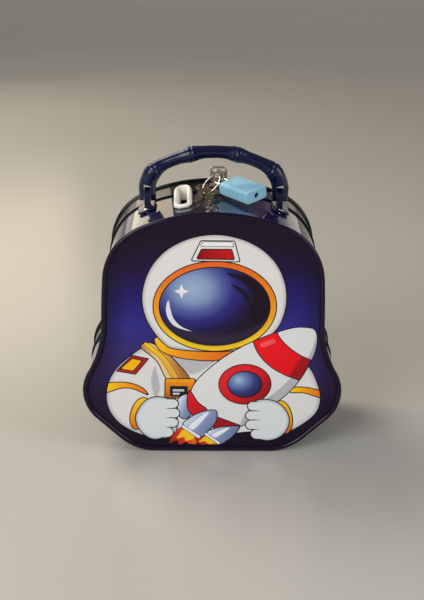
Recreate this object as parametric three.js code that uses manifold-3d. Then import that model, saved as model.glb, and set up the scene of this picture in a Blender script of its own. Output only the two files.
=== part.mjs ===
// Bag-shaped tin money box with a carrying handle, a coin slot, a hasp, a padlock and two keys.
// Millimetres, +Z up, front towards -Y. The origin is the middle of the base, where the rims stand on the table.
import * as THREE from "three";
import { mergeVertices } from "three/addons/utils/BufferGeometryUtils.js";
import Module from "manifold-3d";

const wasm = await Module();
wasm.setup();

// ---------- driving dimensions ----------
const DEPTH = 85; // front rim to rear rim
const GAP = 0.3; // between pieces that touch on the real box
const SHEET = 0.6; // tinplate

// Half of the outline, from the middle of the top down the right side. A turn is in degrees, clockwise.
const OUTLINE = [
  { radius: 119.5, turn: 22.7, steps: 7 }, // crown
  { radius: 41, turn: 63.2, steps: 12 }, // shoulder
  { radius: 580, turn: 3.1, steps: 2 }, // flank
  { radius: -71.6, turn: 29.0, steps: 7 }, // waist, hollow
  { radius: 28, turn: 76.6, steps: 14 }, // lobe
  { straight: 20.5 }, // under the lobe
  { radius: 36.2, turn: 43.4, steps: 7 }, // corner into the flat base
];

const RIM_R = 1.6; // rolled seam round the front and the back panel
const PANEL_RECESS = 2.3; // panel face behind the front of the rim
const BAND_INSET = 2.0; // front band inside the outline of the rim
const COVER_INSET = 1.6; // cover band, a little larger than the front band
const SEAM_Y = 12.5; // where the cover meets the front part

const HINGE = { z: 1.75, barrelR: 1.35, pinR: 0.7, half: 22, leaf: 9 };

const SLOT = { x: -19.8, y: -5, width: 4.8, length: 27 };
const TRIM = { width: 12.2, length: 33, front: 2, back: 6.8, lean: 0.04, neckWall: 1.1, neckTop: 1.6, neckLow: -2.9 };

const HANDLE = { pivotX: 43.5, pivotZ: 168.6, slot: 4.6, pinR: 1.5, footR: 4.7 };
const LUG = { thick: 3.8, flangeX: 12, flangeY: 19, flange: 1.4 };

const HASP_X = 3.4;
const STAPLE = { y: 7.5, width: 7.4, thick: 1.2, top: 183.2, eyeLow: 169.8, eyeHigh: 181.4, eye: 5 };
const FLAP = { y: 18.6, z: 168.9, width: 11.6, length: 13.4, thick: 0.8, reach: 11.1, barrelR: 1.2, pinR: 0.6 };

const LOCK = { yaw: 41, pitch: 3, roll: -8, eyeZ: 173, width: 18, thick: 8.8, length: 27, neck: 5.4 };
const SHACKLE = { half: 4, wire: 1.2, bend: 1.6, heel: 19, toe: 8 };

const RING = { radius: 8, wire: 0.6, lean: 42, heading: 21.7, topZ: 179.5 };
const KEY = { thick: 1.2, bowR: 4.9, holeR: 2.5, blade: 4, length: 27, at: 55 };

// ---------- geometry helpers ----------
const rad = THREE.MathUtils.degToRad;
const pinned = (radius) => radius + 0.08; // running bore for a pin

function solid(geometry) {
  let g = geometry.clone();
  for (const name of ["normal", "uv"]) g.deleteAttribute(name);
  g = mergeVertices(g, 1e-4);
  const made = new wasm.Mesh({
    numProp: 3,
    vertProperties: Float32Array.from(g.attributes.position.array),
    triVerts: Uint32Array.from(g.index.array),
  });
  return new wasm.Manifold(made);
}

function surface(made) {
  const mesh = made.getMesh();
  const g = new THREE.BufferGeometry();
  g.setAttribute("position", new THREE.BufferAttribute(Float32Array.from(mesh.vertProperties), 3));
  g.setIndex(new THREE.BufferAttribute(Uint32Array.from(mesh.triVerts), 1));
  return g;
}

const join = (...parts) => surface(parts.map(solid).reduce((a, b) => a.add(b)));
const cut = (body, ...tools) => surface(tools.map(solid).reduce((a, b) => a.subtract(b), solid(body)));

const box = (w, d, h, x, y, z) => new THREE.BoxGeometry(w, d, h).translate(x, y, z);

// A round bar centred on a point, along "x", "y" or "z".
function bar(radius, length, axis, x, y, z, sides = 20) {
  const g = new THREE.CylinderGeometry(radius, radius, length, sides);
  if (axis === "x") g.rotateZ(Math.PI / 2);
  if (axis === "z") g.rotateX(Math.PI / 2);
  return g.translate(x, y, z);
}

function roundedRect(w, h, r) {
  const s = new THREE.Shape();
  s.moveTo(w / 2 - r, -h / 2);
  s.absarc(w / 2 - r, -h / 2 + r, r, -Math.PI / 2, 0);
  s.absarc(w / 2 - r, h / 2 - r, r, 0, Math.PI / 2);
  s.absarc(-w / 2 + r, h / 2 - r, r, Math.PI / 2, Math.PI);
  s.absarc(-w / 2 + r, -h / 2 + r, r, Math.PI, Math.PI * 1.5);
  return s;
}

// A plate lying in XY from z = low to z = low + thick, with an optional rounded edge.
function plate(shape, thick, low, edge = 0, steps = 5) {
  const options = { depth: thick - 2 * edge, curveSegments: steps, bevelEnabled: edge > 0 };
  Object.assign(options, { bevelThickness: edge, bevelSize: edge, bevelOffset: -edge, bevelSegments: 2 });
  return new THREE.ExtrudeGeometry(shape, options).translate(0, 0, low + edge);
}

// The closed outline of the box, moved inwards by inset, as [x, z] pairs clockwise from the top.
function outline(inset) {
  const half = [[0, -inset]];
  let heading = 0;
  for (const { radius, turn, steps, straight } of OUTLINE) {
    const [x, z] = half.at(-1);
    if (straight) {
      half.push([x + straight * Math.cos(heading), z - straight * Math.sin(heading)]);
      continue;
    }
    const r = radius - inset;
    const [cx, cz] = [x - r * Math.sin(heading), z - r * Math.cos(heading)];
    const start = heading;
    for (let i = 1; i <= steps; i++) {
      heading = start + (Math.sign(radius) * rad(turn) * i) / steps;
      half.push([cx + r * Math.sin(heading), cz + r * Math.cos(heading)]);
    }
  }
  return half.concat(half.slice(1).reverse().map(([x, z]) => [-x, z]));
}
const TOP = -Math.min(...outline(0).map(([, z]) => z)); // height of the rims above the base
const CROWN_R = OUTLINE[0].radius;

// A ring that follows the outline, from a closed section of [inset, y] points.
function rimRing(section) {
  const rings = section.map(([inset, y]) => outline(inset).map(([x, z]) => [x, y, z + TOP]));
  const [rows, count] = [rings.length, rings[0].length];
  const index = [];
  for (let j = 0; j < rows; j++)
    for (let i = 0; i < count; i++) {
      const [k, n] = [(j + 1) % rows, (i + 1) % count];
      const [a, b, c, d] = [j * count + i, k * count + i, k * count + n, j * count + n];
      index.push(a, c, b, a, d, c);
    }
  const g = new THREE.BufferGeometry();
  g.setAttribute("position", new THREE.Float32BufferAttribute(rings.flat(2), 3));
  return g.setIndex(index);
}

// A flat sheet with the outline's shape between y = low and y = high.
function panelSheet(inset, low, high) {
  const shape = new THREE.Shape(outline(inset).map(([x, z]) => new THREE.Vector2(x, z + TOP)));
  return new THREE.ExtrudeGeometry(shape, { depth: high - low, bevelEnabled: false })
    .rotateX(Math.PI / 2)
    .translate(0, high, 0);
}

// A band wall between two y values.
const bandWall = (inset, low, high) =>
  rimRing([[inset, low], [inset, high], [inset + SHEET, high], [inset + SHEET, low]]);

// The rolled seam: a circle section round the outline.
function rolledRim(y, sides = 10) {
  const section = [];
  for (let i = 0; i < sides; i++) {
    const a = (-2 * Math.PI * (i + 0.5)) / sides;
    section.push([RIM_R + (RIM_R * Math.cos(a)) / Math.cos(Math.PI / sides), y + RIM_R * Math.sin(a)]);
  }
  return rimRing(section);
}

// A round rod along a path in a plane, with its own radius at each point.
function rodAlong(points, radii, normal, sides = 12) {
  const position = [];
  const index = [];
  const last = points.length - 1;
  points.forEach((p, i) => {
    const along = points[Math.min(i + 1, last)].clone().sub(points[Math.max(i - 1, 0)]).normalize();
    const across = along.clone().cross(normal);
    for (let k = 0; k < sides; k++) {
      const a = (2 * Math.PI * k) / sides;
      const q = p.clone().addScaledVector(normal, radii[i] * Math.cos(a));
      position.push(...q.addScaledVector(across, radii[i] * Math.sin(a)).toArray());
    }
  });
  for (let i = 0; i < last; i++)
    for (let k = 0; k < sides; k++) {
      const [a, b] = [i * sides + k, i * sides + ((k + 1) % sides)];
      index.push(a, b, b + sides, a, b + sides, a + sides);
    }
  const ends = [points[0], points[last]].map((p) => position.push(...p.toArray()) / 3 - 1);
  for (let k = 0; k < sides; k++) {
    const n = (k + 1) % sides;
    index.push(ends[0], n, k, ends[1], last * sides + k, last * sides + n);
  }
  const g = new THREE.BufferGeometry();
  g.setAttribute("position", new THREE.Float32BufferAttribute(position, 3));
  return g.setIndex(index);
}

// Height and slope of the roof at x, for a surface inset from the rim outline.
const roofZ = (x, inset) => TOP - CROWN_R + Math.sqrt((CROWN_R - inset) ** 2 - x * x);
const roofTilt = (x, inset) => Math.asin(x / (CROWN_R - inset));
// Puts geometry made round the origin onto the roof, square to the surface.
const ontoRoof = (g, x, y, inset) => g.rotateY(roofTilt(x, inset)).translate(x, y, roofZ(x, inset));

const group = new THREE.Group();
group.name = "tin_money_box";
const FINISH = {
  printed: { color: 0x1d1c5c, roughness: 0.25, metalness: 0.1 },
  galaxy: { color: 0x191a48, roughness: 0.22, metalness: 0.15 },
  black: { color: 0x0d0d14, roughness: 0.28, metalness: 0.1 },
  bare: { color: 0xb9bcc0, roughness: 0.35, metalness: 0.9 },
  nickel: { color: 0xcfd1d4, roughness: 0.2, metalness: 1 },
  navy: { color: 0x1b1f4b, roughness: 0.35, metalness: 0 },
  white: { color: 0xeceae4, roughness: 0.4, metalness: 0 },
  blue: { color: 0x8fc9e6, roughness: 0.5, metalness: 0 },
  brass: { color: 0xc7a35a, roughness: 0.35, metalness: 1 },
};
function add(name, finish, geometry) {
  const mesh = new THREE.Mesh(geometry, new THREE.MeshStandardMaterial(FINISH[finish]));
  mesh.name = name;
  group.add(mesh);
}

// ---------- front part ----------
const FRONT = -DEPTH / 2;
const frontRimY = FRONT + RIM_R;
const panelFace = FRONT + PANEL_RECESS;
const frontBandLow = frontRimY + RIM_R + GAP;
const frontBandHigh = SEAM_Y - GAP / 2;
add("front_panel", "printed", join(rolledRim(frontRimY), panelSheet(2.4, panelFace, panelFace + SHEET)));

const hingeNotch = box(2 * HINGE.half + 1, 2 * (HINGE.barrelR + 0.35), 8, 0, SEAM_Y, 1.5);
const neck = { w: SLOT.width + 2 * TRIM.neckWall, l: SLOT.length + 2 * TRIM.neckWall };
const slotHole = box(neck.w + 2 * GAP, neck.l + 2 * GAP, 12, SLOT.x, SLOT.y, roofZ(SLOT.x, BAND_INSET));
const RIVET = { r: 0.9, head: 1.7, rise: 0.7, tail: 1.5 };
const rivetHole = (x, y, inset) => ontoRoof(bar(pinned(RIVET.r), 6, "z", 0, 0, 0, 12), x, y, inset);
// A rivet through the roof: domed head over the piece it holds, shank, and a flattened tail inside.
function roofRivet(x, y, inset, under) {
  const r = RIVET;
  const [top, back] = [under + 0.12, -SHEET - GAP];
  const section = [[0, back - 0.6], [r.tail, back - 0.6], [r.tail, back], [r.r, back], [r.r, top]];
  const crest = top + r.rise;
  section.push([r.head, top], [r.head * 0.86, top + r.rise * 0.6], [r.head * 0.5, crest], [0, crest]);
  const g = new THREE.LatheGeometry(section.map(([a, b]) => new THREE.Vector2(a, b)), 12);
  return ontoRoof(g.rotateX(Math.PI / 2), x, y, inset);
}

const lugRivets = [-1, 1].flatMap((side) => [-1, 1].map((end) => ({ side, end })));
const lugRivetAt = ({ side, end }) => [side * HANDLE.pivotX, end * 7.3];
const stapleRivets = [-6.2, 6.2].map((dx) => [HASP_X + dx, STAPLE.y]);
const frontRivets = [...lugRivets.map(lugRivetAt), ...stapleRivets];
const frontHoles = frontRivets.map(([x, y]) => rivetHole(x, y, BAND_INSET));
const keeperAt = { z: 92, y: 5.6 };
const frontBand = cut(bandWall(BAND_INSET, frontBandLow, frontBandHigh), hingeNotch, slotHole, ...frontHoles);
add("front_band", "galaxy", frontBand);

// Inner collar that the cover slides over. It is notched for the hinge, the coin slot and the staple.
const collarInset = BAND_INSET + SHEET + GAP;
const collarNotch = box(2 * HINGE.half + 6, 14, 12, 0, SEAM_Y - 2, 2);
const roofNotch = box(46, 10, 30, -8, 6.4, TOP - 4);
add("locating_collar", "bare", cut(bandWall(collarInset, SEAM_Y - 3.2, SEAM_Y + 2.6), collarNotch, roofNotch));

// ---------- rear cover ----------
const REAR = DEPTH / 2;
const coverLow = SEAM_Y + GAP / 2;
const coverHigh = REAR - 2 * RIM_R - GAP;
// The cover's free edge is rolled outwards into a small lip.
const lip = { rise: 0.7, width: 1.5 };
const [wallOut, wallIn] = [COVER_INSET, COVER_INSET + SHEET];
const coverSection = [
  [wallIn, coverLow], [wallOut - lip.rise * 0.6, coverLow], [wallOut - lip.rise, coverLow + lip.width * 0.3],
  [wallOut - lip.rise, coverLow + lip.width * 0.7], [wallOut, coverLow + lip.width], [wallOut, coverHigh],
  [wallIn, coverHigh],
];
const bracketRivets = [-3.6, 3.6].map((dx) => [HASP_X + dx, FLAP.y + 7]);
const coverHoles = bracketRivets.map(([x, y]) => rivetHole(x, y, COVER_INSET));
const coverBand = cut(rimRing(coverSection), hingeNotch, ...coverHoles);
add("cover_band", "black", coverBand);
const backFace = REAR - PANEL_RECESS;
add("back_panel", "black", join(rolledRim(REAR - RIM_R), panelSheet(2.4, backFace - SHEET, backFace)));

// ---------- bottom hinge ----------
const floorTop = BAND_INSET + SHEET;
const knuckles = [-18, -9, 0, 9, 18];
const knuckleLength = 8.6;
function hingeLeaf(side, centres, wallTop) {
  const low = wallTop + GAP;
  const middle = low + SHEET / 2;
  const plateY = SEAM_Y + side * (HINGE.leaf / 2 + 2.1);
  const leafPlate = box(2 * HINGE.half - 2, HINGE.leaf, SHEET, 0, plateY, middle);
  const arms = centres.map((x) => box(knuckleLength, 2.2, SHEET, x, SEAM_Y + side * 1.5, middle));
  const barrels = centres.map((x) => bar(HINGE.barrelR, knuckleLength, "x", x, SEAM_Y, HINGE.z, 14));
  const bore = bar(pinned(HINGE.pinR), 60, "x", 0, SEAM_Y, HINGE.z, 14);
  return cut(join(leafPlate, ...arms, ...barrels), bore);
}
add("hinge_leaf_front", "bare", hingeLeaf(-1, knuckles.filter((x, i) => i % 2 === 0), floorTop));
add("hinge_leaf_cover", "bare", hingeLeaf(1, knuckles.filter((x, i) => i % 2 === 1), floorTop));
add("hinge_pin", "bare", bar(HINGE.pinR, 44.6, "x", 0, SEAM_Y, HINGE.z, 14));

// ---------- side keeper: a small spring clip on the left flank, over the seam ----------
{
  const beside = outline(BAND_INSET).filter(([, z]) => Math.abs(z + TOP - keeperAt.z) < 6);
  const flankX = -Math.max(...beside.map(([x]) => x));
  const body = plate(roundedRect(10, 13, 2), 3.4, 0, 0.8).rotateY(-Math.PI / 2);
  add("side_keeper", "navy", body.translate(flankX - GAP - 0.4, keeperAt.y, keeperAt.z));
}

// ---------- coin slot ----------
const slotWay = box(SLOT.width, SLOT.length, 40, SLOT.x, SLOT.y, 165);
const trimFoot = 0.45;
const trimRing = plate(roundedRect(TRIM.width, TRIM.length, TRIM.width / 2 - 0.6), 1, trimFoot, 0.45, 6);
// The collar is a wedge, low at the front and high at the back, and leans a little to the right as it rises.
{
  const at = trimRing.attributes.position;
  for (let i = 0; i < at.count; i++) {
    const share = at.getY(i) / TRIM.length + 0.5;
    const rise = (at.getZ(i) - trimFoot) * (TRIM.front + (TRIM.back - TRIM.front) * share);
    at.setX(i, at.getX(i) + TRIM.lean * rise).setZ(i, trimFoot + rise);
  }
}
const neckMiddle = roofZ(SLOT.x, BAND_INSET) + (TRIM.neckTop + TRIM.neckLow) / 2;
const trimNeck = box(neck.w, neck.l, TRIM.neckTop - TRIM.neckLow, SLOT.x, SLOT.y, neckMiddle);
const trimOnRoof = ontoRoof(trimRing, SLOT.x, SLOT.y, BAND_INSET);
add("coin_slot_trim", "white", cut(join(trimOnRoof, trimNeck), slotWay));
const clip = plate(roundedRect(14, 31, 2), 1.2, -SHEET - GAP - 1.5);
const clipHole = box(neck.w + 2 * GAP, neck.l + 2 * GAP, 40, SLOT.x, SLOT.y, 160);
add("coin_slot_clip", "white", cut(ontoRoof(clip, SLOT.x, SLOT.y, BAND_INSET), clipHole));

// ---------- handle ----------
for (const side of [-1, 1]) {
  const name = side < 0 ? "left" : "right";
  const x = side * HANDLE.pivotX;
  const foot = plate(roundedRect(LUG.flangeX, LUG.flangeY, 2.5), LUG.flange, GAP + 0.2, 0.4, 4);
  const flange = ontoRoof(foot, x, 0, BAND_INSET);
  const ear = new THREE.Shape();
  ear.moveTo(-5, -9);
  ear.lineTo(5, -9);
  ear.absarc(0, 0, 4.3, 0, Math.PI);
  const web = new THREE.ExtrudeGeometry(ear, { depth: LUG.thick, bevelEnabled: false, curveSegments: 10 })
    .rotateX(Math.PI / 2).rotateZ(Math.PI / 2).translate(x - LUG.thick / 2, 0, HANDLE.pivotZ);
  const under = panelSheet(BAND_INSET - GAP - 0.2, -20, 20);
  const own = lugRivets.filter((r) => r.side === side).map(lugRivetAt);
  const holes = own.map(([a, b]) => rivetHole(a, b, BAND_INSET));
  const bore = bar(pinned(HANDLE.pinR), 20, "x", x, 0, HANDLE.pivotZ, 24);
  add(`handle_lug_${name}`, "navy", cut(join(flange, web), under, bore, ...holes));
}
lugRivets.forEach((r) => {
  const [x, y] = lugRivetAt(r);
  const name = `lug_rivet_${r.side < 0 ? "left" : "right"}_${r.end < 0 ? "front" : "rear"}`;
  add(name, "nickel", roofRivet(x, y, BAND_INSET, GAP + 0.2 + LUG.flange));
});

// Bamboo-like grip: straight joints between four ringed knots.
const gripKnots = [[-38.2, 185], [-15, 195.1], [15, 195.1], [38.2, 185]];
const gripPoints = [
  [-HANDLE.pivotX, HANDLE.pivotZ], [-43.4, 175], ...gripKnots.slice(0, 2), [0, 196.9],
  ...gripKnots.slice(2), [43.4, 175], [HANDLE.pivotX, HANDLE.pivotZ],
].map(([x, z]) => new THREE.Vector3(x, 0, z));
const gripPath = new THREE.CatmullRomCurve3(gripPoints, false, "centripetal");
{
  const points = gripPath.getSpacedPoints(84);
  const knotAt = gripKnots.map(([x, z]) => new THREE.Vector3(x, 0, z));
  const radii = points.map((p) => {
    const near = Math.min(...knotAt.map((k) => k.distanceTo(p)));
    const leg = THREE.MathUtils.smoothstep(Math.abs(p.x), 36, 43.5);
    const knot = 0.95 * Math.exp(-((near / 3.2) ** 2)) - 0.75 * Math.exp(-((near / 0.8) ** 2));
    return 4.55 + 1.15 * leg + knot;
  });
  const grip = rodAlong(points, radii, new THREE.Vector3(0, 1, 0), 14);
  const { pivotX, pivotZ, footR, pinR, slot } = HANDLE;
  const feet = [-1, 1].map((s) => bar(footR, 11.2, "x", s * pivotX, 0, pivotZ, 24));
  const forks = [-1, 1].map((s) => box(slot, 14, 15, s * pivotX, 0, pivotZ - 0.6));
  const bores = [-1, 1].map((s) => bar(pinned(pinR), 20, "x", s * pivotX, 0, pivotZ, 24));
  add("handle", "navy", cut(join(grip, ...feet), ...forks, ...bores));
}
for (const side of [-1, 1]) {
  const name = side < 0 ? "left" : "right";
  add(`handle_pin_${name}`, "nickel", bar(HANDLE.pinR, 11.4, "x", side * HANDLE.pivotX, 0, HANDLE.pivotZ, 20));
}

// ---------- hasp ----------
const roofAtHasp = roofZ(HASP_X, BAND_INSET);
{
  const tab = new THREE.Shape();
  const h = STAPLE.top - roofAtHasp - GAP;
  tab.moveTo(-STAPLE.width / 2, 0);
  tab.lineTo(STAPLE.width / 2, 0);
  tab.absarc(0, h - STAPLE.width / 2, STAPLE.width / 2, 0, Math.PI);
  const upright = new THREE.ExtrudeGeometry(tab, { depth: STAPLE.thick, bevelEnabled: false, curveSegments: 8 })
    .rotateX(Math.PI / 2).translate(HASP_X, STAPLE.y + STAPLE.thick / 2, roofAtHasp + GAP);
  const eyeHigh = STAPLE.eyeHigh - STAPLE.eyeLow;
  const eye = plate(roundedRect(STAPLE.eye, eyeHigh, STAPLE.eye / 2 - 0.05), 4, -2)
    .rotateX(Math.PI / 2)
    .translate(HASP_X, STAPLE.y, (STAPLE.eyeHigh + STAPLE.eyeLow) / 2);
  const foot = plate(roundedRect(17, 5, 2.2), 0.8, GAP, 0, 5);
  const base = ontoRoof(foot, HASP_X, STAPLE.y, BAND_INSET);
  const holes = stapleRivets.map(([x, y]) => rivetHole(x, y, BAND_INSET));
  add("hasp_staple", "nickel", cut(join(upright, base), eye, ...holes));
}
stapleRivets.forEach(([x, y], i) =>
  add(`staple_rivet_${i + 1}`, "nickel", roofRivet(x, y, BAND_INSET, GAP + 1.0)));
{
  const roof = roofZ(HASP_X, COVER_INSET);
  const ears = [-1, 1].map((s) => HASP_X + s * 4.5);
  const foot = plate(roundedRect(12, 10, 1.5), 0.7, GAP, 0, 4).translate(0, 6.9, 0);
  const base = ontoRoof(foot, HASP_X, FLAP.y, COVER_INSET);
  const barrels = ears.map((x) => bar(FLAP.barrelR, 2.6, "x", x, FLAP.y, FLAP.z, 14));
  const arms = ears.map((x) => box(2.6, 3, 0.7, x, FLAP.y + 1.4, roof + GAP + 0.35));
  const bore = bar(pinned(FLAP.pinR), 20, "x", HASP_X, FLAP.y, FLAP.z, 12);
  const holes = bracketRivets.map(([x, y]) => rivetHole(x, y, COVER_INSET));
  add("flap_bracket", "nickel", cut(join(base, ...barrels, ...arms), bore, ...holes));
  add("flap_pin", "nickel", bar(FLAP.pinR, 12.2, "x", HASP_X, FLAP.y, FLAP.z, 12));
  const leaf = new THREE.Shape();
  const w = FLAP.width / 2;
  leaf.moveTo(-2.7, 0);
  leaf.lineTo(2.7, 0);
  leaf.lineTo(2.7, 2.4);
  leaf.lineTo(w, 3.6);
  leaf.lineTo(w, FLAP.length - 3);
  leaf.absarc(w - 3, FLAP.length - 3, 3, 0, Math.PI / 2);
  leaf.absarc(3 - w, FLAP.length - 3, 3, Math.PI / 2, Math.PI);
  leaf.lineTo(-w, 3.6);
  leaf.lineTo(-2.7, 2.4);
  const flat = new THREE.ExtrudeGeometry(leaf, { depth: FLAP.thick, bevelEnabled: false, curveSegments: 6 })
    .rotateX(Math.PI / 2).translate(HASP_X, FLAP.y + FLAP.thick / 2, FLAP.z);
  const knuckle = bar(FLAP.barrelR, 5.6, "x", HASP_X, FLAP.y, FLAP.z, 14);
  const slit = box(STAPLE.width + 0.8, 4, 2.2, HASP_X, FLAP.y, FLAP.z + FLAP.reach);
  add("hasp_flap", "nickel", cut(join(flat, knuckle), bore, slit));
}
bracketRivets.forEach(([x, y], i) =>
  add(`bracket_rivet_${i + 1}`, "nickel", roofRivet(x, y, COVER_INSET, GAP + 0.8)));

// ---------- padlock ----------
// Its own frame: the left leg of the shackle runs along Y through the staple's eye at the origin.
const lockFrame = new THREE.Matrix4().makeTranslation(HASP_X, STAPLE.y, LOCK.eyeZ)
  .multiply(new THREE.Matrix4().makeRotationZ(rad(LOCK.yaw)))
  .multiply(new THREE.Matrix4().makeRotationX(rad(LOCK.pitch)))
  .multiply(new THREE.Matrix4().makeRotationY(rad(LOCK.roll)));
const inLock = (g) => g.applyMatrix4(lockFrame);
{
  const midX = SHACKLE.half;
  const back = -LOCK.neck;
  const front = back - LOCK.length;
  const slab = (w, t, r, y0, y1, edge) =>
    plate(roundedRect(w, t, r), y0 - y1, 0, edge, 6).rotateX(Math.PI / 2).translate(midX, y0, 0);
  const coreBack = back - 0.6;
  const coreFront = front + 1.9;
  const cavity = slab(15.6, 6.2, 1.6, back + 5, coreFront - GAP, 0);
  const keyWindow = bar(1.9, 10, "y", midX, front, 0, 16);
  const sleeve = slab(LOCK.width, LOCK.thick, 2.2, back, front, 0.8);
  add("padlock_jacket", "blue", inLock(cut(sleeve, cavity, keyWindow)));

  const core = slab(15, 5.6, 1.4, coreBack, coreFront, 0);
  const heelBore = bar(SHACKLE.wire + 0.1, SHACKLE.heel, "y", 0, coreBack - SHACKLE.heel / 2 + 0.5, 0, 14);
  const toeBore = bar(SHACKLE.wire + 0.1, SHACKLE.toe, "y", 2 * midX, coreBack - SHACKLE.toe / 2 + 0.5, 0, 14);
  const plugLength = 14;
  const plugBore = bar(2.4, plugLength, "y", midX, coreFront + plugLength / 2 - 0.5, 0, 20);
  add("padlock_core", "brass", inLock(cut(core, heelBore, toeBore, plugBore)));
  const plug = bar(2.3, plugLength - 1.1, "y", midX, coreFront + plugLength / 2 - 0.5, 0, 20);
  const keyWay = box(1.3, 11, 3.4, midX, coreFront + 4.6, 0);
  add("padlock_plug", "brass", inLock(cut(plug, keyWay)));

  const path = [[0, coreBack - SHACKLE.heel + 1.2], [0, -1], [0, SHACKLE.bend]];
  for (let i = 1; i <= 9; i++) {
    const a = Math.PI - (Math.PI * i) / 10;
    path.push([midX + midX * Math.cos(a), SHACKLE.bend + midX * Math.sin(a)]);
  }
  path.push([2 * midX, SHACKLE.bend], [2 * midX, -1], [2 * midX, coreBack - SHACKLE.toe + 1.2]);
  const points = path.map(([x, y]) => new THREE.Vector3(x, y, 0));
  const wire = rodAlong(points, points.map(() => SHACKLE.wire), new THREE.Vector3(0, 0, 1), 12);
  add("padlock_shackle", "nickel", inLock(wire));
}

// ---------- key ring and keys ----------
// The ring stands through the top of the staple's eye and leans to the left, so that it meets the roof.
const across = new THREE.Vector3(Math.sin(rad(RING.heading)), -Math.cos(rad(RING.heading)), 0);
const backwards = new THREE.Vector3(Math.cos(rad(RING.heading)), Math.sin(rad(RING.heading)), 0);
const upwards = new THREE.Vector3(0, 0, Math.cos(rad(RING.lean)))
  .addScaledVector(backwards, Math.sin(rad(RING.lean)));
const ringTop = new THREE.Vector3(HASP_X, STAPLE.y, RING.topZ);
const ringCentre = ringTop.clone().addScaledVector(upwards, -RING.radius);
{
  const frame = new THREE.Matrix4().makeBasis(across, upwards, across.clone().cross(upwards));
  frame.setPosition(ringCentre);
  add("key_ring", "nickel", new THREE.TorusGeometry(RING.radius, RING.wire, 8, 32).applyMatrix4(frame));
}
const onRing = (degrees) =>
  ringCentre.clone().addScaledVector(across, RING.radius * Math.sin(rad(degrees)))
    .addScaledVector(upwards, -RING.radius * Math.cos(rad(degrees)));

// A flat key: round bow with a hole, blade towards -Y with three cuts in its right edge.
function key(heading, pitch, at) {
  const bow = plate(new THREE.Shape().absarc(0, 0, KEY.bowR, 0, 2 * Math.PI), KEY.thick, -KEY.thick / 2, 0, 20);
  const blade = new THREE.Shape();
  const w = KEY.blade / 2;
  blade.moveTo(-w, -3);
  const tip = [[-w, -KEY.length + 2], [0, -KEY.length], [w, -KEY.length + 2]];
  const cuts = [[w, -22.4], [w - 1.3, -21.2], [w, -20], [w, -17.8], [w - 1.7, -16.4], [w, -15], [w, -12.6],
    [w - 1, -11.6], [w, -10.6], [w, -3]];
  for (const [x, y] of [...tip, ...cuts]) blade.lineTo(x, y);
  const hole = bar(KEY.holeR, 6, "z", 0, 0, 0, 20);
  const made = cut(join(bow, plate(blade, KEY.thick, -KEY.thick / 2)), hole);
  return made.rotateX(rad(pitch)).rotateZ(rad(heading)).translate(at.x, at.y, at.z);
}
add("key_1", "nickel", key(-10.5, 6.9, onRing(-KEY.at)));
add("key_2", "nickel", key(-7, 5.9, onRing(KEY.at)));

export default group;
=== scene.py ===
# %% [markdown]
# # Tin money box with a bamboo-style handle, a padlock and two keys
# The box is a small bag made of printed tinplate. A flat panel closes the front and the back, and each panel is
# rolled over the edge of a curved side wall. The grip, the slot trim and the padlock's sleeve are moulded plastic.
# Everything is in metres, in the frame of the solid model: +Z up and the printed front towards -Y.

import math

import bpy
import numpy as np
from mathutils import Matrix, Vector


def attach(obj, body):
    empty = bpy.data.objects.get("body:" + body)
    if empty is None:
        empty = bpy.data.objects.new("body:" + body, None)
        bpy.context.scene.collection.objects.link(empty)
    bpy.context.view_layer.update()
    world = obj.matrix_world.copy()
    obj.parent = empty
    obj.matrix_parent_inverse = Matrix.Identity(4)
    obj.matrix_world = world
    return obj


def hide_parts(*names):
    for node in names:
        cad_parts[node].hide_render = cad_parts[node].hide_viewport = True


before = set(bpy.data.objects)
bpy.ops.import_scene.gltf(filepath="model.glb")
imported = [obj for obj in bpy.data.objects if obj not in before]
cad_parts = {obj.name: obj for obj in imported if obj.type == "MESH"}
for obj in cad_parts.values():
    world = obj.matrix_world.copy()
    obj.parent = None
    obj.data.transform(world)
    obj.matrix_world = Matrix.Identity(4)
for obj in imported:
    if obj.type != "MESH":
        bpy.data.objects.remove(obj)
bpy.context.view_layer.update()
MM = 0.001

# %% [markdown]
# ## Helpers for finishes
# A finish is a node tree. One function turns a printed colour into linear light, one adds a node with its settings and
# its links, and one starts a material and hands back what is needed to build it.


# %% Finish helpers
def linear(hex_colour):
    """sRGB hex to linear RGBA: c/12.92 below 0.04045, otherwise ((c + 0.055)/1.055) to the power 2.4."""
    c = np.array([int(hex_colour[i:i + 2], 16) / 255 for i in (1, 3, 5)])
    low, high = c / 12.92, ((c + 0.055) / 1.055) ** 2.4
    return (*np.where(c <= 0.04045, low, high), 1.0)


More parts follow.
